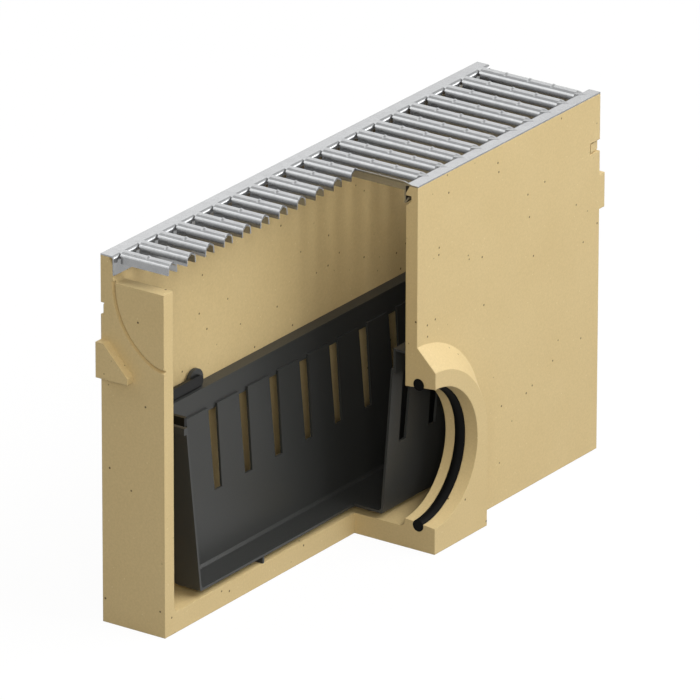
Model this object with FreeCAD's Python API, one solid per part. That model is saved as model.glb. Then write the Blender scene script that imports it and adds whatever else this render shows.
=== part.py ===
"""Inline sump unit of a channel drain, shown in quarter section.

A cast polymer concrete box takes the water of a drain channel through a pressed steel bar
grating, catches the silt in a lift-out plastic basket and drains through a pipe outlet in one
long side. The unit is modelled whole and one quarter is then cut away to show the inside.

Millimetres. The origin is the middle of the base, +X runs along the channel, -Y points to the
side with the pipe outlet, and +Z is up.
"""

import FreeCAD
import Part
import math
import os

from FreeCAD import Vector

# Sump body
LENGTH = 500.0
WIDTH = 116.0
HEIGHT = 300.0              # base to the top of the grating's side strips
SIDE_WALL = 10.8
END_WALL = 12.0
FLOOR = 17.0
FLOOR_FILLET = 5.0
LIP_DROP = 21.0             # end walls stop this far below the top
LIP_CORNER = 4.0
TOP_BEVEL = (3.3, 6.0)      # inner top edge of the long walls: across, down

# Knock-out outline on the end faces, the section of the channel that joins there
KNOCKOUT_HALF = 46.2
KNOCKOUT_DEPTH = 62.0       # lip to the lowest point of the outline
KNOCKOUT_FLANK = 67.0       # radius of the curved flanks
KNOCKOUT_TOE = 26.0         # radius at the bottom
GROOVE_WIDTH = 3.4
GROOVE_DEPTH = 3.0
GROOVE_ROOT = 1.0

# Joining lugs on the end faces and the sockets for them
LUG_REACH = 7.3
LUG_TOP_DROP = 69.0
LUG_HEIGHT = 28.8
LUG_WIDTH = 29.5
LUG_FLAT = 7.0
LUG_TIP = 5.0
LUG_PLAY = 0.8

# Clip pockets in the long faces beside the vertical corners
POCKET_LENGTH = 13.5
POCKET_HEIGHT = 9.6
POCKET_TOP_DROP = 39.2
POCKET_DEPTH = 2.4          # at the corner
POCKET_SCORE = (1.2, 3.0)   # groove around the pocket: wide, deep

# Pipe outlet
OUTLET_AXIS = 79.2
OUTLET_MOUTH = 57.9         # bore radius at the mouth
OUTLET_THROAT = 55.0        # bore radius at the inner wall face
BOSS_REACH = 17.2
BOSS_FACE = 71.4            # half width and arch radius at the mouth
BOSS_SLOPE = 17.2           # how much wider the boss is at the wall
SEAL_RADIUS = 58.5
SEAL_SECTION = 4.9
SEAL_PLACE = 1.6            # ring behind the outer wall face
SEAL_FIT = 0.1

# Bar grating, one pressed sheet
SHEET = 1.2
SHEET_BEND = 2.6
FLANGE_BOTTOM = 15.5        # below the strips
FLANGE_PLAY = 0.3
BAR_PITCH = 23.8            # wanted; the bars share the length evenly
BAR_WIDTH = 12.0            # over the foot of the skirts
BAR_FLARE = 0.6             # each skirt leans out this much
BAR_SKIRT = 7.2             # skirts end below the strips
BAR_SHOULDER = 0.6          # shoulders below the strips
BAR_CROWN = 1.9             # crown above the strips
BAR_CROWN_WIDTH = 1.2
BAR_BEND = 1.4
SKIRT_GAP = 2.0
BEAD_SPACING = 22.0
BEAD_LENGTH = 3.6
BEAD_RISE = 0.6
BEAD_WIDTH = 9.0
BEAD_SINK = 0.15            # ends of a bead under the bar's surface
TIP_START = 1.2             # the crown starts to fall this far inside the flange
TIP_REACH = 7.6             # and has run out on the strip after this length
TIP_POINT = 0.04            # share of its size left there
SNAP_LENGTH = 16.0
SNAP_TONGUE = 3.5
SNAP_TONGUE_RISE = 5.0
SNAP_POCKET_LENGTH = 30.0
SNAP_POCKET_DEPTH = 4.8
SNAP_POCKET_TOP = 9.2       # below the strips
SNAP_POCKET_HEIGHT = 8.4

# Sediment basket
BASKET_WALL = 2.0
BASKET_FOOT = 5.5           # height of the cross ribs that it stands on
BASKET_FOOT_INSET = 82.6    # cross ribs to the basket's ends, at the underside
BASKET_FLOOR_HALF = 26.5    # outer half width at the underside
BASKET_END_GAP = 34.0       # basket to end wall at the underside
BASKET_HEIGHT = 140.0       # underside to rim
BASKET_STEP_DROP = 17.0
BASKET_STEP = 2.0
BASKET_STEP_LAP = 3.5       # the upper band hangs this far below the ledge
BASKET_LEAN = 9.5           # outward lean of the long walls up to the step
BASKET_END_LEAN = 18.0      # outward lean of the end walls up to the rim
END_BEAD = (2.4, 5.5)       # bead along the top of the end walls: out, down
BASKET_CORNER = 5.0
BASKET_INNER_EDGE = 1.9     # bevel around the floor, inside
BASKET_OUTER_EDGE = 0.8     # and outside
RIM_PLAY = 0.4
SLOT_PITCH = 40.0
SLOT_HEIGHT = 67.0
SLOT_TOP_WIDTH = 12.0
SLOT_BOTTOM_WIDTH = 9.5

# Bail handles
PIVOT_RISE = 5.4            # pivot above the rim
BAIL_HEIGHT = 9.4
CROSSBAR_HEIGHT = 7.0
BAIL_TAPER = 26.0           # the arms narrow to the crossbar over this length
BAIL_THICK = 3.0
BAIL_REACH = 73.5           # pivot to the outer face of the crossbar
BAIL_END_GAP = 14.0         # crossbar to the end wall
BAIL_INSET = 5.4            # outer face of the arm to the rim's edge
EAR_RADIUS = 9.2
EAR_THICK = 3.0
EAR_GAP = 0.4
PIN_RADIUS = 2.4
PIN_PLAY = 0.1

# Places that follow from the sizes above
WALL_TOP = HEIGHT - SHEET
HALF_LENGTH = LENGTH / 2
HALF_WIDTH = WIDTH / 2
INNER_HALF_LENGTH = HALF_LENGTH - END_WALL
INNER_HALF_WIDTH = HALF_WIDTH - SIDE_WALL
LIP = HEIGHT - LIP_DROP
FLANGE_INNER = INNER_HALF_WIDTH - FLANGE_PLAY - SHEET
SHOULDER_HALF = BAR_WIDTH / 2 - BAR_FLARE
CROWN_HALF = BAR_CROWN_WIDTH / 2
BAR_SLOPE = (BAR_CROWN + BAR_SHOULDER) / (SHOULDER_HALF - CROWN_HALF)
BASKET_UNDERSIDE = FLOOR + BASKET_FOOT
RIM = BASKET_UNDERSIDE + BASKET_HEIGHT
STEP = RIM - BASKET_STEP_DROP
RIM_HALF = INNER_HALF_WIDTH - RIM_PLAY
PANEL_HALF = BASKET_FLOOR_HALF + BASKET_LEAN
BASKET_FOOT_PLACE = INNER_HALF_LENGTH - BASKET_END_GAP - BASKET_FOOT_INSET
PIVOT_PLACE = INNER_HALF_LENGTH - BAIL_END_GAP - BAIL_REACH
PIVOT_Z = RIM + PIVOT_RISE
PAST = 1.0                  # how far a cutter passes the face it opens


def block(low, high):
    """Box between two corners."""
    return Part.makeBox(*(b - a for a, b in zip(low, high)), Vector(*low))


def rounded_face(points, radii):
    """Flat face inside a closed outline, with each corner rounded to its radius."""
    edges = []
    start = None
    last = None
    for i, corner in enumerate(points):
        before = points[i - 1]
        after = points[(i + 1) % len(points)]
        if radii[i] == 0:
            enter, leave = corner, corner
        else:
            to_before = (before - corner).normalize()
            to_after = (after - corner).normalize()
            half_angle = to_before.getAngle(to_after) / 2
            run = radii[i] / math.tan(half_angle)
            enter = corner + to_before * run
            leave = corner + to_after * run
            middle = (to_before + to_after).normalize()
            crest = corner + middle * (radii[i] / math.sin(half_angle) - radii[i])
        if last is None:
            start = enter
        else:
            edges.append(Part.makeLine(last, enter))
        if radii[i] != 0:
            edges.append(Part.Arc(enter, crest, leave).toShape())
        last = leave
    edges.append(Part.makeLine(last, start))
    return Part.Face(Part.Wire(edges))


def along_x(outline, x_from, x_to, radii=None):
    """Prism along X from a (y, z) outline."""
    points = [Vector(x_from, y, z) for y, z in outline]
    face = rounded_face(points, radii or [0] * len(points))
    return face.extrude(Vector(x_to - x_from, 0, 0))


def along_y(outline, y_from, y_to, radii=None):
    """Prism along Y from an (x, z) outline."""
    points = [Vector(x, y_from, z) for x, z in outline]
    face = rounded_face(points, radii or [0] * len(points))
    return face.extrude(Vector(0, y_to - y_from, 0))


def both_sides(shape):
    """A shape and its mirror image across the XZ plane."""
    return [shape, shape.mirror(Vector(0, 0, 0), Vector(0, 1, 0))]


def both_ends(shape):
    """A shape and its mirror image across the YZ plane."""
    return [shape, shape.mirror(Vector(0, 0, 0), Vector(1, 0, 0))]


def half_turn(shape):
    """A shape turned half round the vertical axis."""
    turned = shape.copy()
    turned.rotate(Vector(0, 0, 0), Vector(0, 0, 1), 180)
    return turned


def show_section(shape):
    """Cut away the quarter that opens the unit to view."""
    reach = LENGTH + WIDTH + HEIGHT
    quarter = block((-reach, -reach, -reach), (0, 0, reach))
    return shape.cut(quarter)


def concrete_box():
    """Open-topped box with rounded floor corners and lowered end walls."""
    outer = block((-HALF_LENGTH, -HALF_WIDTH, 0), (HALF_LENGTH, HALF_WIDTH, WALL_TOP))
    cavity = block(
        (-INNER_HALF_LENGTH, -INNER_HALF_WIDTH, FLOOR),
        (INNER_HALF_LENGTH, INNER_HALF_WIDTH, WALL_TOP + PAST),
    )
    low_edges = [edge for edge in cavity.Edges if edge.BoundBox.ZMax < FLOOR + PAST]
    cavity = cavity.makeFillet(FLOOR_FILLET, low_edges)
    across = [
        (-INNER_HALF_WIDTH, WALL_TOP + PAST),
        (-INNER_HALF_WIDTH, LIP),
        (INNER_HALF_WIDTH, LIP),
        (INNER_HALF_WIDTH, WALL_TOP + PAST),
    ]
    notch = along_x(across, -HALF_LENGTH - PAST, HALF_LENGTH + PAST, [0, LIP_CORNER, LIP_CORNER, 0])
    bevel_across, bevel_down = TOP_BEVEL
    bevel = along_x(
        [
            (INNER_HALF_WIDTH - PAST, WALL_TOP - bevel_down),
            (INNER_HALF_WIDTH, WALL_TOP - bevel_down),
            (INNER_HALF_WIDTH + bevel_across, WALL_TOP),
            (INNER_HALF_WIDTH + bevel_across, WALL_TOP + PAST),
            (INNER_HALF_WIDTH - PAST, WALL_TOP + PAST),
        ],
        -HALF_LENGTH - PAST,
        HALF_LENGTH + PAST,
    )
    return outer.cut([cavity, notch] + both_sides(bevel))


def knockout_wire(offset, x):
    """Closed band along the knock-out outline, as wide as twice the offset."""

    def side(grow):
        half = KNOCKOUT_HALF + grow
        flank = KNOCKOUT_FLANK + grow
        toe = KNOCKOUT_TOE + grow
        flank_y = KNOCKOUT_HALF - KNOCKOUT_FLANK
        toe_z = LIP - KNOCKOUT_DEPTH + KNOCKOUT_TOE
        # The toe's centre is on the axis, so the flank's centre lies this far above it
        lift = math.sqrt((KNOCKOUT_FLANK - KNOCKOUT_TOE) ** 2 - flank_y ** 2)
        flank_z = toe_z + lift
        toward = math.atan2(-lift, -flank_y)
        middle = toward / 2
        touch = Vector(x, toe * math.cos(toward), toe_z + toe * math.sin(toward))
        belly = Vector(x, flank_y + flank * math.cos(middle), flank_z + flank * math.sin(middle))
        shoulder = Vector(x, half, flank_z)
        lowest = Vector(x, 0, toe_z - toe)
        return half, shoulder, belly, touch, lowest

    def flip(point):
        return Vector(point.x, -point.y, point.z)

    def run(grow):
        half, shoulder, belly, touch, lowest = side(grow)
        top = Vector(x, half, LIP + PAST)
        return [
            Part.makeLine(top, shoulder),
            Part.Arc(shoulder, belly, touch).toShape(),
            Part.Arc(touch, lowest, flip(touch)).toShape(),
            Part.Arc(flip(touch), flip(belly), flip(shoulder)).toShape(),
            Part.makeLine(flip(shoulder), flip(top)),
        ], top

    outer, outer_top = run(offset)
    inner, inner_top = run(-offset)
    across = [Part.makeLine(outer_top, inner_top), Part.makeLine(flip(outer_top), flip(inner_top))]
    return Part.Wire(Part.__sortEdges__(outer + inner + across))


def knockout_groove():
    """Vee groove on the left end face that marks the panel to break out."""
    face = knockout_wire(GROOVE_WIDTH / 2, -HALF_LENGTH)
    root = knockout_wire(GROOVE_ROOT / 2, -HALF_LENGTH + GROOVE_DEPTH)
    return Part.makeLoft([face, root], True, True)


def lug(grow, x_from, x_to):
    """Fin on the far half of an end face, grown by the play for its socket."""
    top = HEIGHT - LUG_TOP_DROP + grow
    low = HEIGHT - LUG_TOP_DROP - LUG_HEIGHT - grow
    tip = HALF_WIDTH - LUG_WIDTH - grow
    outline = [
        (HALF_WIDTH, low),
        (HALF_WIDTH, top),
        (HALF_WIDTH - LUG_FLAT - grow, top),
        (tip, low + LUG_TIP + grow),
        (tip, low),
    ]
    return along_x(outline, x_from, x_to)


def clip_pocket():
    """Scored pocket in the far long face that runs deeper to the right-hand corner."""
    wide, deep = POCKET_SCORE
    top = HEIGHT - POCKET_TOP_DROP
    low = top - POCKET_HEIGHT
    start = HALF_LENGTH - POCKET_LENGTH
    end = HALF_LENGTH + PAST
    past_face = HALF_WIDTH + PAST
    floor_end = HALF_WIDTH - POCKET_DEPTH * (end - start) / POCKET_LENGTH
    ramp = [(start, HALF_WIDTH), (end, floor_end), (end, past_face), (start, past_face)]
    ramp_corners = [Vector(x, y, low) for x, y in ramp]
    pocket = rounded_face(ramp_corners, [0] * 4).extrude(Vector(0, 0, POCKET_HEIGHT))
    score = block((start, HALF_WIDTH - deep, low), (end, past_face, top))
    middle = block((start + wide, HALF_WIDTH - deep, low + wide), (end, past_face, top - wide))
    return pocket.fuse(score.cut(middle))


def snap_pocket():
    """Undercut in the far long wall, at mid-length, that holds the grating's tongue."""
    top = HEIGHT - SNAP_POCKET_TOP
    deep = INNER_HALF_WIDTH + SNAP_POCKET_DEPTH
    outline = [
        (INNER_HALF_WIDTH - PAST, top - SNAP_POCKET_HEIGHT),
        (INNER_HALF_WIDTH, top - SNAP_POCKET_HEIGHT),
        (deep, top - SNAP_POCKET_HEIGHT / 2),
        (deep, top),
        (INNER_HALF_WIDTH - PAST, top),
    ]
    return along_x(outline, -SNAP_POCKET_LENGTH / 2, SNAP_POCKET_LENGTH / 2)


def arch_wire(half, y):
    """Upright arch on the base: straight sides up to the outlet axis, then half a circle."""
    left = Vector(-half, y, OUTLET_AXIS)
    right = Vector(half, y, OUTLET_AXIS)
    left_foot = Vector(-half, y, 0)
    right_foot = Vector(half, y, 0)
    crest = Vector(0, y, OUTLET_AXIS + half)
    return Part.Wire([
        Part.makeLine(left_foot, left),
        Part.Arc(left, crest, right).toShape(),
        Part.makeLine(right, right_foot),
        Part.makeLine(right_foot, left_foot),
    ])


def outlet_boss():
    """Sloped collar of the pipe outlet, on the near long face."""
    at_wall = arch_wire(BOSS_FACE + BOSS_SLOPE, -HALF_WIDTH)
    at_mouth = arch_wire(BOSS_FACE, -HALF_WIDTH - BOSS_REACH)
    return Part.makeLoft([at_wall, at_mouth], True, True)


def outlet_bore():
    """Tapered socket for the pipe, through the collar and the wall."""
    depth = SIDE_WALL + BOSS_REACH
    taper = (OUTLET_MOUTH - OUTLET_THROAT) / depth
    mouth = Vector(0, -HALF_WIDTH - BOSS_REACH - PAST, OUTLET_AXIS)
    return Part.makeCone(
        OUTLET_MOUTH + taper * PAST, OUTLET_THROAT - taper * PAST, depth + 2 * PAST, mouth, Vector(0, 1, 0)
    )


def seal_ring(section):
    """Round-section ring around the outlet bore."""
    centre = Vector(0, -HALF_WIDTH - SEAL_PLACE, OUTLET_AXIS)
    return Part.makeTorus(SEAL_RADIUS, section, centre, Vector(0, 1, 0))


def sump_body():
    body = concrete_box().fuse(outlet_boss())
    far_lug = lug(0, -HALF_LENGTH - LUG_REACH, -HALF_LENGTH)
    body = body.fuse([far_lug, half_turn(far_lug)]).removeSplitter()
    socket = lug(LUG_PLAY, HALF_LENGTH - LUG_REACH - LUG_PLAY, HALF_LENGTH + PAST)
    pockets = [turned for end in both_ends(clip_pocket()) for turned in both_sides(end)]
    body = body.cut(
        [outlet_bore(), seal_ring(SEAL_SECTION + SEAL_FIT), socket, half_turn(socket)]
        + both_ends(knockout_groove())
        + pockets
        + both_sides(snap_pocket())
    )
    return show_section(body)


def outlet_seal():
    return show_section(seal_ring(SEAL_SECTION))


def side_strip():
    """Folded strip on the far long wall: flat on top, then down inside the channel."""
    bottom = HEIGHT - FLANGE_BOTTOM
    outline = [
        (HALF_WIDTH, HEIGHT),
        (FLANGE_INNER, HEIGHT),
        (FLANGE_INNER, bottom),
        (FLANGE_INNER + SHEET, bottom),
        (FLANGE_INNER + SHEET, WALL_TOP),
        (HALF_WIDTH, WALL_TOP),
    ]
    radii = [0, SHEET_BEND, 0, 0, SHEET_BEND - SHEET, 0]
    return along_x(outline, -HALF_LENGTH, HALF_LENGTH, radii)


def snap_tongue():
    """Barb lanced from the far flange, which catches under the wall's undercut."""
    low = HEIGHT - FLANGE_BOTTOM
    outline = [
        (FLANGE_INNER, low),
        (FLANGE_INNER + SHEET, low),
        (FLANGE_INNER + SHEET + SNAP_TONGUE, low + SNAP_TONGUE_RISE),
        (FLANGE_INNER + SNAP_TONGUE, low + SNAP_TONGUE_RISE),
    ]
    return along_x(outline, -SNAP_LENGTH / 2, SNAP_LENGTH / 2)


def offset_line(points, distance):
    """Open (x, z) line moved to its right-hand side, with mitred bends."""
    normals = []
    for (x0, z0), (x1, z1) in zip(points, points[1:]):
        length = math.hypot(x1 - x0, z1 - z0)
        normals.append(((z1 - z0) / length, (x0 - x1) / length))
    moved = []
    for (x, z), before, after in zip(points, normals[:1] + normals, normals + normals[-1:]):
        reach = distance / (1 + before[0] * after[0] + before[1] * after[1])
        moved.append((x + reach * (before[0] + after[0]), z + reach * (before[1] + after[1])))
    return moved


def hat_outline():
    """Closed (x, z) outline of one bar: leaning skirts, sloped shoulders and a narrow crown."""
    left = [
        (-BAR_WIDTH / 2, HEIGHT - BAR_SKIRT),
        (-SHOULDER_HALF, HEIGHT - BAR_SHOULDER),
        (-CROWN_HALF, HEIGHT + BAR_CROWN),
    ]
    outer = left + [(-x, z) for x, z in reversed(left)]
    inner = offset_line(outer, SHEET)
    outer_radii = [0, BAR_BEND + SHEET, BAR_BEND]
    inner_radii = [0, BAR_BEND, 0]
    radii = outer_radii + outer_radii[::-1] + inner_radii + inner_radii[::-1]
    return outer + inner[::-1], radii


def bar_bead(y):
    """Low anti-slip bead across the crown, rising and falling along the bar."""
    crown = HEIGHT + BAR_CROWN
    half = BEAD_WIDTH / 2
    foot = crown - BAR_SLOPE * (half - CROWN_HALF) - BEAD_SINK

    def ring(along, rise):
        outline = [
            (-half, foot),
            (-CROWN_HALF, crown + rise),
            (CROWN_HALF, crown + rise),
            (half, foot),
            (CROWN_HALF, crown - SHEET / 2),
            (-CROWN_HALF, crown - SHEET / 2),
        ]
        corners = [Vector(x, along, z) for x, z in outline]
        return Part.makePolygon(corners + corners[:1])

    start = ring(y - BEAD_LENGTH / 2, -BEAD_SINK)
    end = ring(y + BEAD_LENGTH / 2, -BEAD_SINK)
    return Part.makeLoft([start, ring(y, BEAD_RISE), end], True, True)


def bar_tip():
    """Hipped end where the crown runs out on the far strip."""
    half_root = CROWN_HALF + BAR_CROWN / BAR_SLOPE
    root = [
        (-half_root, -1.5 * SHEET),
        (-half_root, 0),
        (-CROWN_HALF, BAR_CROWN),
        (CROWN_HALF, BAR_CROWN),
        (half_root, 0),
        (half_root, -1.5 * SHEET),
    ]

    def ring(y, share):
        corners = [Vector(x * share, y, HEIGHT + z * share) for x, z in root]
        return Part.makePolygon(corners + corners[:1])

    root_y = FLANGE_INNER - TIP_START
    return Part.makeLoft([ring(root_y, 1.0), ring(root_y + TIP_REACH, TIP_POINT)], True, True)


def grating_bar():
    """One bar across the channel, centred on X = 0."""
    outline, radii = hat_outline()
    reach = FLANGE_INNER - TIP_START
    bar = along_y(outline, -reach, reach, radii)
    skirt_end = FLANGE_INNER - SKIRT_GAP
    relief = block(
        (-BAR_WIDTH, skirt_end, HEIGHT - BAR_SKIRT - PAST),
        (BAR_WIDTH, reach + PAST, HEIGHT - BAR_SHOULDER - SHEET),
    )
    beads = [bar_bead(step * BEAD_SPACING) for step in (-1, 0, 1)]
    return bar.cut(both_sides(relief)).fuse(beads + both_sides(bar_tip()))


def bar_grating():
    count = round(LENGTH / BAR_PITCH)
    bar = grating_bar()
    bars = []
    for step in range(count):
        bars.append(bar.translated(Vector((step + 0.5) * LENGTH / count - HALF_LENGTH, 0, 0)))
    strip = side_strip().fuse(snap_tongue())
    strips = both_sides(strip)
    return show_section(strips[0].fuse(strips[1:] + bars))


def rounded_rectangle(half_length, half_width, corner, z):
    """Flat rounded rectangle at a height, as a wire."""
    corners = [
        Vector(-half_length, -half_width, z),
        Vector(half_length, -half_width, z),
        Vector(half_length, half_width, z),
        Vector(-half_length, half_width, z),
    ]
    return rounded_face(corners, [corner] * 4).OuterWire


def end_half(z):
    """Outer half length of the basket at a height."""
    foot_half = INNER_HALF_LENGTH - BASKET_END_GAP
    return foot_half + BASKET_END_LEAN * (z - BASKET_UNDERSIDE) / BASKET_HEIGHT


def side_half(z):
    """Outer half width of the basket at a height below the ledge."""
    return BASKET_FLOOR_HALF + BASKET_LEAN * (z - BASKET_UNDERSIDE) / (STEP - BASKET_UNDERSIDE)


def tub(inset, low, ledge, edge):
    """Tapered tub with a bevelled lower edge, stepped out at a ledge and inset from the outer faces."""

    def ring(half_width, z, narrow=0):
        half_length = end_half(z) - inset - narrow
        return rounded_rectangle(half_length, half_width - inset - narrow, BASKET_CORNER - inset, z)

    foot = ring(side_half(low), low, edge)
    lower = [foot, ring(side_half(low + edge), low + edge), ring(PANEL_HALF, STEP)]
    upper = [ring(PANEL_HALF + BASKET_STEP, ledge), ring(PANEL_HALF + BASKET_STEP, RIM)]
    return Part.makeLoft(lower, True, True).fuse(Part.makeLoft(upper, True, True))


def basket_slots():
    """Tapered drain slots through the long walls, up to the ledge but not into the upper band."""
    low = STEP - SLOT_HEIGHT
    outline = [
        (-SLOT_BOTTOM_WIDTH / 2, low),
        (-SLOT_TOP_WIDTH / 2, STEP),
        (SLOT_TOP_WIDTH / 2, STEP),
        (SLOT_BOTTOM_WIDTH / 2, low),
    ]
    slot = along_y(outline, side_half(low) - 2 * BASKET_WALL, PANEL_HALF)
    # Also the slots that only open a corner
    count = math.floor((end_half(STEP) + SLOT_TOP_WIDTH / 2) / SLOT_PITCH + 0.5)
    slots = []
    for step in range(count):
        for end in both_ends(slot.translated(Vector((step + 0.5) * SLOT_PITCH, 0, 0))):
            slots += both_sides(end)
    return slots


def rim_flange():
    """Flat flange along the far long side of the rim."""
    half = end_half(RIM) - BASKET_CORNER
    return block((-half, PANEL_HALF + BASKET_STEP - BASKET_WALL, RIM - BASKET_WALL), (half, RIM_HALF, RIM))


def end_bead():
    """Stiffening bead outside the top of the left end wall."""
    out, down = END_BEAD
    half_width = PANEL_HALF + BASKET_STEP - BASKET_CORNER
    wall = end_half(RIM - down) - BASKET_WALL
    return block((-end_half(RIM) - out, -half_width, RIM - down), (-wall, half_width, RIM))


def bail_ear():
    """Round ear on the far rim, with the hole for the bail's pin."""
    inner = RIM_HALF - BAIL_INSET + EAR_GAP
    start = Vector(-PIVOT_PLACE, inner, PIVOT_Z)
    disc = Part.makeCylinder(EAR_RADIUS, EAR_THICK, start, Vector(0, 1, 0))
    below = block(
        (-PIVOT_PLACE - EAR_RADIUS, inner, RIM - EAR_RADIUS),
        (-PIVOT_PLACE + EAR_RADIUS, inner + EAR_THICK, RIM - BASKET_WALL),
    )
    hole = Part.makeCylinder(PIN_RADIUS + PIN_PLAY, EAR_THICK, start, Vector(0, 1, 0))
    return disc.cut([below, hole])


def basket_foot():
    """Cross rib under the basket that stands on the sump floor."""
    half = BASKET_FLOOR_HALF - BASKET_CORNER
    return block(
        (-BASKET_FOOT_PLACE - BASKET_WALL / 2, -half, FLOOR),
        (-BASKET_FOOT_PLACE + BASKET_WALL / 2, half, BASKET_UNDERSIDE + BASKET_WALL / 2),
    )


def sediment_basket():
    shell = tub(0, BASKET_UNDERSIDE, STEP - BASKET_STEP_LAP, BASKET_OUTER_EDGE)
    shell = shell.fuse(both_sides(rim_flange()) + both_ends(end_bead()))
    inside = tub(BASKET_WALL, BASKET_UNDERSIDE + BASKET_WALL, STEP, BASKET_INNER_EDGE)
    shell = shell.cut([inside] + basket_slots())
    ears = [turned for side in both_sides(bail_ear()) for turned in both_ends(side)]
    return show_section(shell.fuse(ears + both_ends(basket_foot())))


def bail():
    """U-shaped lifting bail at the left end, lying flat on the rim."""
    outer = RIM_HALF - BAIL_INSET
    half_height = BAIL_HEIGHT / 2
    far_end = -PIVOT_PLACE - BAIL_REACH
    taper_end = far_end + BAIL_TAPER
    low_end = PIVOT_Z - CROSSBAR_HEIGHT / 2
    high_end = PIVOT_Z + CROSSBAR_HEIGHT / 2
    side = [
        (far_end, low_end),
        (far_end, high_end),
        (taper_end, PIVOT_Z + half_height),
        (-PIVOT_PLACE, PIVOT_Z + half_height),
        (-PIVOT_PLACE, PIVOT_Z - half_height),
        (taper_end, PIVOT_Z - half_height),
    ]
    bar = along_y(side, -outer, outer)
    opening = block(
        (far_end + BAIL_THICK, -outer + BAIL_THICK, PIVOT_Z - BAIL_HEIGHT),
        (-PIVOT_PLACE + BAIL_HEIGHT, outer - BAIL_THICK, PIVOT_Z + BAIL_HEIGHT),
    )
    arm_start = Vector(-PIVOT_PLACE, outer - BAIL_THICK, PIVOT_Z)
    arm_end = Part.makeCylinder(half_height, BAIL_THICK, arm_start, Vector(0, 1, 0))
    pin = Part.makeCylinder(PIN_RADIUS, BAIL_THICK + EAR_GAP + EAR_THICK, arm_start, Vector(0, 1, 0))
    return bar.cut(opening).fuse(both_sides(arm_end) + both_sides(pin)).removeSplitter()


def left_bail():
    return show_section(bail())


def right_bail():
    return half_turn(bail())


def export(node, shape):
    shape = shape.removeSplitter()
    print(f"{node}: {len(shape.Solids)} solid, {shape.Volume / 1000:.1f} cm3, valid {shape.isValid()}")
    shape.exportStep(f"parts/{node}.step")


os.makedirs("parts", exist_ok=True)
export("sump_body", sump_body())
export("outlet_seal", outlet_seal())
export("bar_grating", bar_grating())
export("sediment_basket", sediment_basket())
export("left_bail", left_bail())
export("right_bail", right_bail())
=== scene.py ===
# %% [markdown]
# # A channel drain's sump unit, cut open
#
# The unit collects the water of a drain channel. It is a cast polymer concrete box with a pressed
# steel bar grating on top, a plastic silt basket inside and a sealed pipe outlet in one long side.
# The solids come from the CAD frame at their real size, in metres, and this lesson dresses them:
# it gives each piece the surface of its real material and lights them as in a studio.

import math

import bmesh
import bpy
from mathutils import Matrix, Vector


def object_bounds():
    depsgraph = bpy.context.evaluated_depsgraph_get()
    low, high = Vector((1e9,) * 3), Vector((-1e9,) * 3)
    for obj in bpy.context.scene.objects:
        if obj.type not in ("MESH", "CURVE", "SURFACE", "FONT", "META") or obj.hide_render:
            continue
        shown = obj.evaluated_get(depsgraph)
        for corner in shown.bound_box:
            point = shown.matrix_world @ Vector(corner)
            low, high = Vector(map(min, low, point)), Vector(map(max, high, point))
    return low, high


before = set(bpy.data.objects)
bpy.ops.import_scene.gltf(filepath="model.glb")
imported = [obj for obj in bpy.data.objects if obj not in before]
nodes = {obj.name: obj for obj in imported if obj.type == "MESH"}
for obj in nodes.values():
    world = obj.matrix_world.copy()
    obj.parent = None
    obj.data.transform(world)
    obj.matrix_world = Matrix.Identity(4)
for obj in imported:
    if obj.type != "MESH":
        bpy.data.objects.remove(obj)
cad_low, cad_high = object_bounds()
MM = 0.001                  # the frame is in metres
print("nodes:", sorted(nodes))
print("CAD box in mm:", [round((high - low) / MM) for low, high in zip(cad_low, cad_high)])

# %% [markdown]
# ## The camera
#
# The picture is taken from far away with a long lens, so edges that are parallel on the unit stay
# nearly parallel in the frame. The camera could be placed by three coordinates and three angles, but
# it is easier to adjust when it is described as a photographer would: the point that it looks at, the
# angle round the object, the angle above the floor, the distance and the lens. The tiny roll is the
# tilt of the camera body. The Standard view transform shows colours as they are written.

# %% Camera
AIM = Vector((-0.0065, 0.0, 0.1548))
AZIMUTH = -55.11            # angles in degrees
ELEVATION = 22.07
ROLL = 0.126
DISTANCE = 8.3345
LENS_MM = 558.5
SENSOR_MM = 36.0
FARTHEST = 100.0            # nothing beyond this is drawn


def direction(azimuth, elevation):
    """Unit vector from the object towards a place around it. Azimuth 0 is the -Y side."""
    azimuth = math.radians(azimuth)
    elevation = math.radians(elevation)
    level = math.cos(elevation)
    return Vector((math.sin(azimuth) * level, -math.cos(azimuth) * level, math.sin(elevation)))


camera_data = bpy.data.cameras.new("Camera")
camera_data.lens = LENS_MM
camera_data.sensor_width = SENSOR_MM
camera_data.clip_end = FARTHEST
camera = bpy.data.objects.new("Camera", camera_data)
bpy.context.scene.collection.objects.link(camera)
to_camera = direction(AZIMUTH, ELEVATION)
turned = to_camera.to_track_quat("Z", "Y").to_matrix() @ Matrix.Rotation(math.radians(ROLL), 3, "Z")
camera.matrix_world = Matrix.Translation(AIM + DISTANCE * to_camera) @ turned.to_4x4()
bpy.context.scene.camera = camera
bpy.context.scene.view_settings.view_transform = "Standard"
print("camera at", [round(value, 3) for value in camera.location])

# %% [markdown]
# ## Helpers for materials
#
# Colours are easiest to choose as the hex values of a paint chart, but a shader needs linear light,
# so one function converts them. Another adds a shader node, sets it up and links it in one call,
# which keeps each material readable from top to bottom. The third starts an empty material.

# %% Helpers
COLOUR_A, COLOUR_B = 6, 7   # a Mix node has sockets for each kind of data; these are the colour ones
COLOUR_OUT = 2


def linear(hex_code):
    """Linear RGBA of an sRGB hex colour."""
    channels = [int(hex_code[i:i + 2], 16) / 255 for i in (1, 3, 5)]
    return [c / 12.92 if c <= 0.04045 else ((c + 0.055) / 1.055) ** 2.4 for c in channels] + [1.0]


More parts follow.
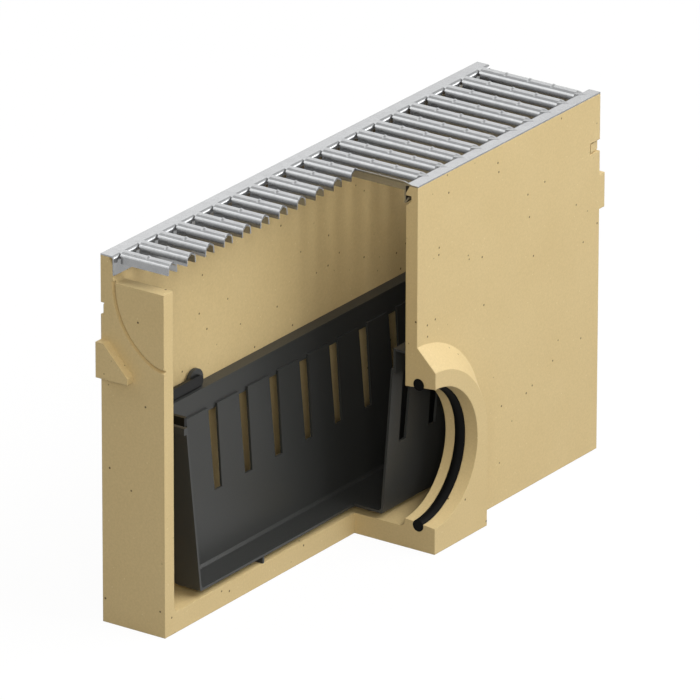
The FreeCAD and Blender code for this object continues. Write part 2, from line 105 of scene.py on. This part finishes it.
def add(tree, kind, inputs=None, **settings):
    """Add a shader node with its settings, and fill or link its inputs."""
    made = tree.nodes.new(kind)
    for name, value in settings.items():
        setattr(made, name, value)
    for name, value in (inputs or {}).items():
        if isinstance(value, bpy.types.NodeSocket):
            tree.links.new(value, made.inputs[name])
        else:
            made.inputs[name].default_value = value
    return made


def new_material(name):
    """Empty node material, with its node tree and output node."""
    material = bpy.data.materials.new(name)
    material.use_nodes = True
    material.node_tree.nodes.clear()
    return material, material.node_tree, material.node_tree.nodes.new("ShaderNodeOutputMaterial")


print("mid grey in linear light:", round(linear("#808080")[0], 3))

# %% [markdown]
# ## Polymer concrete
#
# The box is cast from quartz sand bound with resin in a smooth steel mould. That gives the eye a warm
# sand colour, a fine grain, faint clouds where the mix settled, a few small blowholes and some pale
# quartz grains at the surface. Each blowhole is only a shallow dent in the bump, and the dark inside it
# is painted shade. Blowholes could be painted on each face, but here they and the grains are spheres
# of a 3-D cell pattern, so that each face cuts them to dots of different sizes and none is stretched
# round a corner.

# %% Polymer concrete, patterns
GRIT_MM = 1.6               # real grit is finer; drawn this coarse so that it shows
CLOUD_MM = 55.0
BLOWHOLE_MM = 1.1           # radius
BLOWHOLE_CELL_MM = 14.0     # one blowhole in a cube of this size
BLOWHOLE_CORE = 0.6         # share of the radius that is fully dark
QUARTZ_MM = 0.7
QUARTZ_CELL_MM = 9.0
QUARTZ_CORE = 0.5

concrete, tree, output = new_material("PolymerConcreteCast")
place = add(tree, "ShaderNodeTexCoord").outputs["Object"]
cloud = add(tree, "ShaderNodeTexNoise", {"Vector": place, "Scale": 1 / (CLOUD_MM * MM), "Detail": 3.0})
grit = add(tree, "ShaderNodeTexNoise", {"Vector": place, "Scale": 1 / (GRIT_MM * MM), "Detail": 2.0})
holes = add(tree, "ShaderNodeTexVoronoi", {"Vector": place, "Scale": 1 / (BLOWHOLE_CELL_MM * MM)})
hole_edge = BLOWHOLE_MM / BLOWHOLE_CELL_MM
in_hole = add(tree, "ShaderNodeMapRange", {
    "Value": holes.outputs["Distance"], "From Min": hole_edge, "From Max": BLOWHOLE_CORE * hole_edge,
})
grains = add(tree, "ShaderNodeTexVoronoi", {"Vector": place, "Scale": 1 / (QUARTZ_CELL_MM * MM)})
grain_edge = QUARTZ_MM / QUARTZ_CELL_MM
in_grain = add(tree, "ShaderNodeMapRange", {
    "Value": grains.outputs["Distance"], "From Min": grain_edge, "From Max": QUARTZ_CORE * grain_edge,
})
print("concrete patterns:", len(tree.nodes), "nodes")

# %% Polymer concrete, colour
SAND = "#D2BC8B"
SAND_CLOUD = "#CBB482"
# painted shade: the dark inside a blowhole, which is only a shallow dent in the bump
BLOWHOLE_SHADE = "#5E4C2A"
QUARTZ = "#DCC998"

clouded = add(tree, "ShaderNodeMix", {
    "Factor": cloud.outputs["Fac"], COLOUR_A: linear(SAND), COLOUR_B: linear(SAND_CLOUD),
}, data_type="RGBA")
gritty = add(tree, "ShaderNodeMapRange", {"Value": grit.outputs["Fac"], "To Min": 0.89, "To Max": 1.10})
grained = add(tree, "ShaderNodeMix", {
    "Factor": 1.0, COLOUR_A: clouded.outputs[COLOUR_OUT], COLOUR_B: gritty.outputs["Result"],
}, data_type="RGBA", blend_type="MULTIPLY")
quartz = add(tree, "ShaderNodeMix", {
    "Factor": in_grain.outputs["Result"], COLOUR_A: grained.outputs[COLOUR_OUT], COLOUR_B: linear(QUARTZ),
}, data_type="RGBA")
# paints the shade into the blowholes
with_painted_pit_shade = add(tree, "ShaderNodeMix", {
    "Factor": in_hole.outputs["Result"], COLOUR_A: quartz.outputs[COLOUR_OUT], COLOUR_B: linear(BLOWHOLE_SHADE),
}, data_type="RGBA")
print("concrete colours:", SAND, SAND_CLOUD, BLOWHOLE_SHADE, QUARTZ)

# %% Polymer concrete, surface
EDGE_MM = 0.9               # cast edges are this soft
RELIEF_MM = 0.2             # depth of the grain

soft_edges = add(tree, "ShaderNodeBevel", {"Radius": EDGE_MM * MM}, samples=4)
relief = add(tree, "ShaderNodeMath", {
    0: grit.outputs["Fac"], 1: in_hole.outputs["Result"],
}, operation="SUBTRACT")
bump = add(tree, "ShaderNodeBump", {
    "Strength": 0.25, "Distance": RELIEF_MM * MM, "Height": relief.outputs[0],
    "Normal": soft_edges.outputs[0],
})
surface = add(tree, "ShaderNodeBsdfPrincipled", {
    "Base Color": with_painted_pit_shade.outputs[COLOUR_OUT], "Roughness": 0.62, "IOR": 1.5, "Normal": bump.outputs[0],
})
tree.links.new(surface.outputs[0], output.inputs["Surface"])
print(concrete.name, "has", len(tree.nodes), "nodes")

# %% [markdown]
# ## Galvanised steel sheet
#
# The grating is pressed from one sheet and dipped in zinc. Zinc is a light grey metal that blurs what
# it mirrors, and a thin patina dulls it, so the shader isn't fully metallic. It freezes in crystals a
# few millimetres across. They could be drawn as flakes, but at this distance the eye only sees patches
# that are a little lighter or darker than their neighbours, so a cell pattern gives each crystal its
# own tone and polish.

# %% Galvanised steel, zinc crystals
ZINC = "#999A9B"
ZINC_DARK = "#949596"
CRYSTAL_MM = 5.0

steel, tree, output = new_material("GalvanisedSteelSheet")
place = add(tree, "ShaderNodeTexCoord").outputs["Object"]
crystals = add(tree, "ShaderNodeTexVoronoi", {"Vector": place, "Scale": 1 / (CRYSTAL_MM * MM)})
crystal = add(tree, "ShaderNodeSeparateColor", {0: crystals.outputs["Color"]})
tone = add(tree, "ShaderNodeMix", {
    "Factor": crystal.outputs[0], COLOUR_A: linear(ZINC), COLOUR_B: linear(ZINC_DARK),
}, data_type="RGBA")
polish = add(tree, "ShaderNodeMapRange", {"Value": crystal.outputs[1], "To Min": 0.21, "To Max": 0.24})
print("zinc crystals of", CRYSTAL_MM, "mm")

# %% [markdown]
# ## How the bends catch the light
#
# Each bar is a hat with a light crest, a thin dark line beside it, a bright shoulder and a darker
# skirt. These lines come from shallow bends of the sheet, and a mirror-like metal shows the smallest
# of them. A Bevel node would round the edges but smear lines that are this close together. So the
# height on the bar chooses how far the surface is turned up, towards the bright room, or down. Faces
# that look along the bar get a turn of their own: the flanges below the strips, and above them the
# beads and the tips of the bars, which shine like the strips. The solid keeps its shape.

# %% Galvanised steel, heights on a bar
BAR_COUNT = 21
BEAD_RISE_MM = 0.6          # beads stand this far above the crest
BAR_RISE_MM = 9.1           # from the foot of a bar to its crest
BENDS = (
    # share of the way from foot to crest, turn of faces across the bar, turn of faces along it
    (0.0, 0.0, 0.0),
    (0.19, 0.0, 0.03),
    (0.35, 0.08, 0.14),
    (0.48, 0.2, 0.26),
    (0.66, 0.36, 0.44),
    (0.72, -0.35, 0.25),
    (0.78, -1.2, 0.1),
    (0.8, -1.0, 10.0),
    (0.85, -0.55, 15.0),
    (0.89, 0.0, 15.0),
    (0.92, 4.5, 15.0),
    (1.0, 9.0, 15.0),
)

sheet_points = [vertex.co for vertex in nodes["bar_grating"].data.vertices]
crest = max(point.z for point in sheet_points) - BEAD_RISE_MM * MM
foot = crest - BAR_RISE_MM * MM
pitch = (max(point.x for point in sheet_points) - min(point.x for point in sheet_points)) / BAR_COUNT
spot = add(tree, "ShaderNodeSeparateXYZ", {0: place})
rise = add(tree, "ShaderNodeMapRange", {"Value": spot.outputs["Z"], "From Min": foot, "From Max": crest})
turn = add(tree, "ShaderNodeValToRGB", {0: rise.outputs["Result"]})
stops = turn.color_ramp.elements
for bend in BENDS[1:-1]:
    stops.new(bend[0])
for stop, (_, across, along) in zip(stops, BENDS):
    stop.color = (across, along, 0.0, 1.0)
print("bars", round(pitch / MM, 2), "mm apart, crest at", round(crest / MM, 1), "mm")

# %% Galvanised steel, turned surface
facing = add(tree, "ShaderNodeNewGeometry").outputs["Normal"]
split = add(tree, "ShaderNodeSeparateXYZ", {0: facing})
# one bar stands over the origin, so wrapping X by the pitch gives the way from a bar's middle
from_middle = add(tree, "ShaderNodeMath", {
    0: spot.outputs["X"], 1: pitch / 2, 2: -pitch / 2,
}, operation="WRAP")
side = add(tree, "ShaderNodeMath", {0: from_middle.outputs[0]}, operation="SIGN")
outward = add(tree, "ShaderNodeMath", {0: split.outputs["X"], 1: side.outputs[0]}, operation="MULTIPLY")
across_bar = add(tree, "ShaderNodeMath", {0: outward.outputs[0], 1: 0.0}, operation="MAXIMUM")
along_bar = add(tree, "ShaderNodeMath", {0: split.outputs["Y"]}, operation="ABSOLUTE")
faces = add(tree, "ShaderNodeCombineXYZ", {"X": across_bar.outputs[0], "Y": along_bar.outputs[0]})
amount = add(tree, "ShaderNodeVectorMath", {
    0: turn.outputs["Color"], 1: faces.outputs[0],
}, operation="DOT_PRODUCT")
upward = add(tree, "ShaderNodeCombineXYZ", {"Z": amount.outputs["Value"]})
turned_up = add(tree, "ShaderNodeVectorMath", {0: facing, 1: upward.outputs[0]}, operation="ADD")
bent = add(tree, "ShaderNodeVectorMath", {0: turned_up.outputs[0]}, operation="NORMALIZE")
surface = add(tree, "ShaderNodeBsdfPrincipled", {
    "Base Color": tone.outputs[COLOUR_OUT], "Metallic": 0.85, "Roughness": polish.outputs["Result"],
    "Normal": bent.outputs[0],
})
tree.links.new(surface.outputs[0], output.inputs["Surface"])
print(steel.name, "has", len(tree.nodes), "nodes")

# %% [markdown]
# ## Moulded polypropylene
#
# The basket is black polypropylene from a lightly textured mould. The eye sees a black that is lifted
# to charcoal where it mirrors something bright, with a soft, waxy sheen. The texture is too fine to
# model, so a noise stands for it: it varies the roughness and raises a slight bump.

# %% Moulded polypropylene
CHARCOAL = "#333433"
MOULD_GRAIN_MM = 1.2        # drawn a little coarser than the real texture
MOULD_DEPTH_MM = 0.1

basket_plastic, tree, output = new_material("BlackPolypropyleneMoulded")
place = add(tree, "ShaderNodeTexCoord").outputs["Object"]
mould = add(tree, "ShaderNodeTexNoise", {
    "Vector": place, "Scale": 1 / (MOULD_GRAIN_MM * MM), "Detail": 2.0,
})
rough = add(tree, "ShaderNodeMapRange", {"Value": mould.outputs["Fac"], "To Min": 0.36, "To Max": 0.48})
bump = add(tree, "ShaderNodeBump", {
    "Strength": 0.15, "Distance": MOULD_DEPTH_MM * MM, "Height": mould.outputs["Fac"],
})
surface = add(tree, "ShaderNodeBsdfPrincipled", {
    "Base Color": linear(CHARCOAL), "Roughness": rough.outputs["Result"], "IOR": 1.49,
    "Specular IOR Level": 0.4, "Normal": bump.outputs[0],
})
tree.links.new(surface.outputs[0], output.inputs["Surface"])
print(basket_plastic.name, "has", len(tree.nodes), "nodes")

# %% [markdown]
# ## Polished polypropylene
#
# The lifting bails are the same plastic from a polished mould and show narrow, clear reflections.
# Their colour is a deeper black than the basket's: part of it is a darker plastic and part is painted
# shade on the bails. The eye finds no pattern on them, so the shader's own values are enough.

# %% Polished polypropylene
# deeper black than CHARCOAL: part darker plastic, part painted shade on the bails
JET_WITH_SHADE = "#0C0D0D"

bail_plastic, tree, output = new_material("BlackPolypropylenePolished")
surface = add(tree, "ShaderNodeBsdfPrincipled", {
    "Base Color": linear(JET_WITH_SHADE), "Roughness": 0.3, "IOR": 1.49, "Specular IOR Level": 0.2,
})
tree.links.new(surface.outputs[0], output.inputs["Surface"])
print(bail_plastic.name, "has", len(tree.nodes), "nodes")

# %% [markdown]
# ## Seal rubber
#
# The ring in the outlet is moulded rubber: nearly black, matt, with a broad soft highlight. Rubber
# sweats a thin bloom of wax that lies in patches. It hardly changes the colour, so a slow noise only
# varies the roughness.

# %% Seal rubber
RUBBER = "#050505"
BLOOM_MM = 6.0

seal_rubber, tree, output = new_material("SealRubberMoulded")
place = add(tree, "ShaderNodeTexCoord").outputs["Object"]
bloom = add(tree, "ShaderNodeTexNoise", {"Vector": place, "Scale": 1 / (BLOOM_MM * MM), "Detail": 3.0})
rough = add(tree, "ShaderNodeMapRange", {"Value": bloom.outputs["Fac"], "To Min": 0.66, "To Max": 0.78})
surface = add(tree, "ShaderNodeBsdfPrincipled", {
    "Base Color": linear(RUBBER), "Roughness": rough.outputs["Result"], "IOR": 1.52,
    "Specular IOR Level": 0.12,
})
tree.links.new(surface.outputs[0], output.inputs["Surface"])
print(seal_rubber.name, "has", len(tree.nodes), "nodes")

# %% [markdown]
# ## Dressing the pieces
#
# The pieces could be modelled again here with more detail, but the CAD solids already have the real
# shapes. So each keeps its mesh and only gets its finish.

# %% Dress the pieces
FINISHES = {
    "sump_body": concrete,
    "bar_grating": steel,
    "sediment_basket": basket_plastic,
    "left_bail": bail_plastic,
    "right_bail": bail_plastic,
    "outlet_seal": seal_rubber,
}
for name, material in FINISHES.items():
    mesh = nodes[name].data
    mesh.materials.clear()
    mesh.materials.append(material)
    print(name, "->", material.name)

# %% [markdown]
# ## Floor and room
#
# The unit stands on a white floor in a white room. Strong lamps could make them white, but they would
# also light the unit from all sides and flatten it. So the Light Path node tells the rays apart. Rays
# from the camera, from mirror-like surfaces and through clear ones find plain white. All other rays
# meet a grey floor and a dim room. A small part of the floor's own shading stays, for the shadow.

# %% Floor
FLOOR_SIZE = 40.0
FLOOR_GAP_MM = 0.2          # keeps the floor from meeting the unit's base

floor_mesh = bpy.data.meshes.new("Floor")
floor_grid = bmesh.new()
bmesh.ops.create_grid(floor_grid, x_segments=1, y_segments=1, size=FLOOR_SIZE / 2)
floor_grid.to_mesh(floor_mesh)
floor_grid.free()
floor = bpy.data.objects.new("Floor", floor_mesh)
bpy.context.scene.collection.objects.link(floor)
floor.location.z = cad_low.z - FLOOR_GAP_MM * MM
print("floor at z", round(floor.location.z / MM, 2), "mm")

# %% Floor paper
FLOOR_WHITE = "#FFFFFF"
FLOOR_GREY = "#959595"      # what the floor gives back to the unit
SHADOW_SHARE = 0.05


def seen_as_picture(tree):
    """Socket that is 1 for rays that show the picture, and 0 for those that only carry light."""
    rays = add(tree, "ShaderNodeLightPath")
    seen = rays.outputs["Is Camera Ray"]
    for ray in ("Is Glossy Ray", "Is Transmission Ray"):
        seen = add(tree, "ShaderNodeMath", {0: seen, 1: rays.outputs[ray]}, operation="MAXIMUM").outputs[0]
    return seen


paper, tree, output = new_material("StudioFloorPaper")
seen = seen_as_picture(tree)
white_share = add(tree, "ShaderNodeMath", {0: seen, 1: 1 - SHADOW_SHARE}, operation="MULTIPLY")
tone = add(tree, "ShaderNodeMix", {
    "Factor": seen, COLOUR_A: linear(FLOOR_GREY), COLOUR_B: linear(FLOOR_WHITE),
}, data_type="RGBA")
matt = add(tree, "ShaderNodeBsdfDiffuse", {"Color": tone.outputs[COLOUR_OUT]})
white = add(tree, "ShaderNodeEmission", {"Color": linear(FLOOR_WHITE), "Strength": 1.0})
mixed = add(tree, "ShaderNodeMixShader", {
    0: white_share.outputs[0], 1: matt.outputs[0], 2: white.outputs[0],
})
tree.links.new(mixed.outputs[0], output.inputs["Surface"])
floor_mesh.materials.append(paper)
print(paper.name, "has", len(tree.nodes), "nodes")

# %% Room
ROOM_WHITE = "#FFFFFF"
ROOM_FILL = 0.12            # share of white with which the room lights the unit

world = bpy.data.worlds.new("Studio")
world.use_nodes = True
bpy.context.scene.world = world
tree = world.node_tree
tree.nodes.clear()
strength = add(tree, "ShaderNodeMapRange", {
    "Value": seen_as_picture(tree), "To Min": ROOM_FILL, "To Max": 1.0,
})
room = add(tree, "ShaderNodeBackground", {
    "Color": linear(ROOM_WHITE), "Strength": strength.outputs["Result"],
})
add(tree, "ShaderNodeOutputWorld", {"Surface": room.outputs[0]})
print("room fill", ROOM_FILL)

# %% [markdown]
# ## Lamps
#
# One lamp could light the unit, but its inside and its back would stay dark. The softbox and the light
# from the ceiling come from high over the outlet side. The gap light is a narrow lamp that shines
# through the grating and draws soft stripes on the far wall. A slightly warm fill from the camera's
# side opens the cut, two lamps behind and one at the right draw the edges of steel and plastic, and
# one lights the back wall. Lamps that would only burn out in the steel are kept out of reflections.

# %% Lamps
NEUTRAL = "#FFFFFF"
WARM = "#FFFAF1"
LAMP_DISTANCE = 3.0
LAMPS = {
    # azimuth and elevation in degrees, width and height in metres, watts, colour, shown in reflections
    "Softbox": (33, 47, 2.9, 2.9, 48.0, NEUTRAL, True),
    "CeilingBounce": (17, 55, 3.1, 3.1, 49.0, NEUTRAL, False),
    "GapLight": (3, 50, 0.27, 1.4, 9.3, NEUTRAL, False),
    "FrontFill": (-53, 22, 1.2, 1.2, 32.5, WARM, False),
    "BackLeft": (-152, 48, 1.6, 1.6, 15.8, NEUTRAL, True),
    "BackRight": (132, 33, 1.35, 1.35, 5.4, NEUTRAL, True),
    "RightEdge": (62, 28, 0.65, 0.65, 9.0, NEUTRAL, True),
    "BackWall": (170, 10, 1.4, 1.4, 28.0, NEUTRAL, False),
}

middle = (cad_low + cad_high) / 2
for name, (azimuth, elevation, width, height, watts, colour, mirrored) in LAMPS.items():
    lamp_data = bpy.data.lights.new(name, "AREA")
    lamp_data.shape = "RECTANGLE"
    lamp_data.size = width
    lamp_data.size_y = height
    lamp_data.energy = watts
    lamp_data.color = linear(colour)[:3]
    lamp = bpy.data.objects.new(name, lamp_data)
    lamp.visible_glossy = mirrored
    bpy.context.scene.collection.objects.link(lamp)
    to_lamp = direction(azimuth, elevation)
    aimed = to_lamp.to_track_quat("Z", "Y").to_matrix().to_4x4()
    lamp.matrix_world = Matrix.Translation(middle + LAMP_DISTANCE * to_lamp) @ aimed
    print(name, "at", [round(value, 2) for value in lamp.location])
